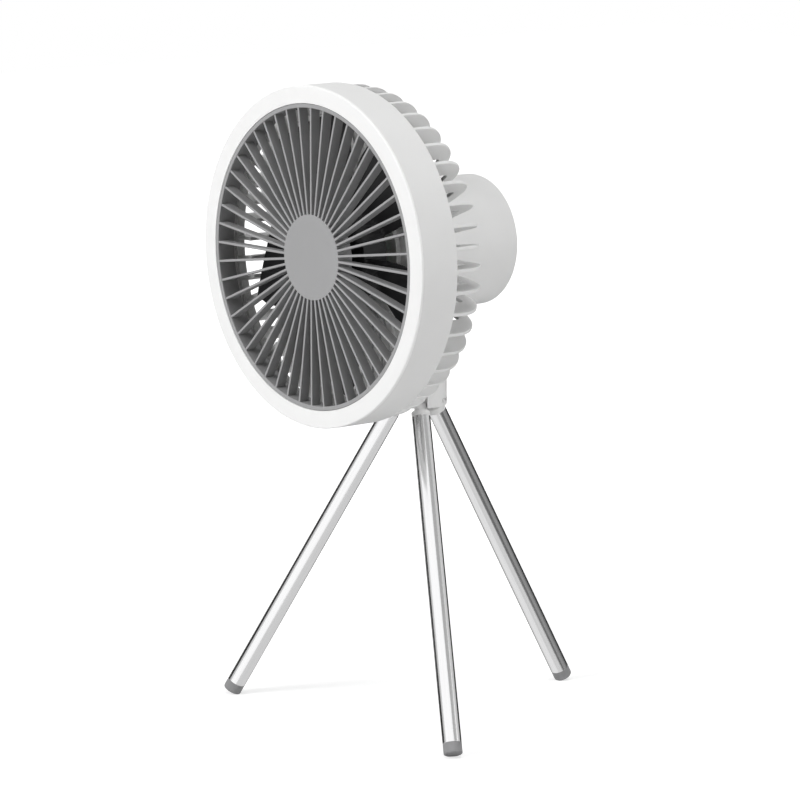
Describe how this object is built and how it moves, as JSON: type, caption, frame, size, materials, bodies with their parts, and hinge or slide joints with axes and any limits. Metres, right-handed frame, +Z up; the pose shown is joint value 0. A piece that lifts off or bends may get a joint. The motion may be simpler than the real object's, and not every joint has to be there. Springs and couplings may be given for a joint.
{
  "type": "portable camping fan",
  "caption": "Battery fan with a light ring round a radial-vane grille, a tilting head with a battery pod, and a folding tripod.",
  "frame": {"origin": "on the ground, at the centre of the rectangle that the fan covers with its head upright and its legs open", "axes": "+Z up, the head blows towards -Y, +X to the right as seen from the front; the tripod's third leg points to +Y"},
  "size_m": [0.1948, 0.1844, 0.3436],
  "materials": {
    "diffuser": "milky satin diffuser",
    "white_board": "white solder mask",
    "led": "clear resin over phosphor",
    "gray_plastic": "fine satin moulding",
    "white_plastic": "fine satin moulding",
    "steel": "zinc plated",
    "bearing_steel": "ground",
    "core_steel": "stacked laminations",
    "can_steel": "drawn, plated",
    "black_steel": "blackened spring steel",
    "magnet": "bonded ferrite",
    "copper": "enamelled windings",
    "brass": "turned",
    "green_board": "green solder mask",
    "black_plastic": "satin",
    "cell_sleeve": "shrink sleeve",
    "lens": "smoked clear",
    "rubber": "friction washer",
    "foot_rubber": "gray elastomer",
    "leg_aluminium": "brushed, clear anodised"
  },
  "bodies": {
    "hub": {"tripod_hub": "white_plastic", "leg_pins": "steel", "tilt_pin": "steel", "tilt_nut": "steel", "friction_washers": "rubber"},
    "head": {"light_ring": "diffuser", "led_board": "white_board", "leds": "led", "front_grille": "gray_plastic", "head_band": "white_plastic", "rear_guard": "white_plastic", "guard_screws": "steel", "motor_base": "white_plastic", "bearing_tube": "brass", "front_bearing": "bearing_steel", "rear_bearing": "bearing_steel", "stator_core": "core_steel", "stator_coils": "copper", "motor_board": "green_board", "motor_screws": "steel", "pod_shell": "white_plastic", "pod_screws": "steel", "battery_holder": "black_plastic", "battery_cells": "cell_sleeve", "control_board": "green_board", "board_screws": "steel", "status_leds": "led", "button_switches": "black_plastic", "usb_c_socket": "steel", "rear_cover": "white_plastic", "cover_screws": "steel", "indicator_lens": "lens"},
    "rotor": {"impeller": "black_plastic", "rotor_can": "can_steel", "rotor_magnets": "magnet", "motor_shaft": "bearing_steel", "impeller_nut": "steel", "shaft_clip": "black_steel"},
    "power_button": {"power_button": "gray_plastic"},
    "light_button": {"light_button": "gray_plastic"},
    "leg_1": {"leg_knuckle_1": "white_plastic", "leg_tube_1": "leg_aluminium", "foot_cap_1": "foot_rubber"},
    "leg_2": {"leg_knuckle_2": "white_plastic", "leg_tube_2": "leg_aluminium", "foot_cap_2": "foot_rubber"},
    "leg_3": {"leg_knuckle_3": "white_plastic", "leg_tube_3": "leg_aluminium", "foot_cap_3": "foot_rubber"}
  },
  "joints": [
    {"name": "head_tilt", "type": "hinge", "parent": "hub", "child": "head", "pos_m": [0, -0.01942, 0.20004], "axis": [-1, 0, 0], "range_deg": [-15, 80]},
    {"name": "impeller_spin", "type": "hinge", "parent": "head", "child": "rotor", "pos_m": [0, -0.055, 0.25364], "axis": [0, 1, 0], "continuous": true},
    {"name": "power_button_press", "type": "slide", "parent": "head", "child": "power_button", "axis": [0, -1, 0], "range_m": [0, 0.0006], "stiffness_N_per_m": 800, "springref_m": -0.001},
    {"name": "light_button_press", "type": "slide", "parent": "head", "child": "light_button", "axis": [0, -1, 0], "range_m": [0, 0.0006], "stiffness_N_per_m": 800, "springref_m": -0.001},
    {"name": "leg_1_fold", "type": "hinge", "parent": "hub", "child": "leg_1", "pos_m": [0.00854, -0.02435, 0.17122], "axis": [0.5, 0.866, 0], "range_deg": [0, 30]},
    {"name": "leg_2_fold", "type": "hinge", "parent": "hub", "child": "leg_2", "pos_m": [0, -0.00956, 0.17122], "axis": [-1, 0, 0], "range_deg": [0, 30]},
    {"name": "leg_3_fold", "type": "hinge", "parent": "hub", "child": "leg_3", "pos_m": [-0.00854, -0.02435, 0.17122], "axis": [0.5, -0.866, 0], "range_deg": [0, 30]}
  ]
}
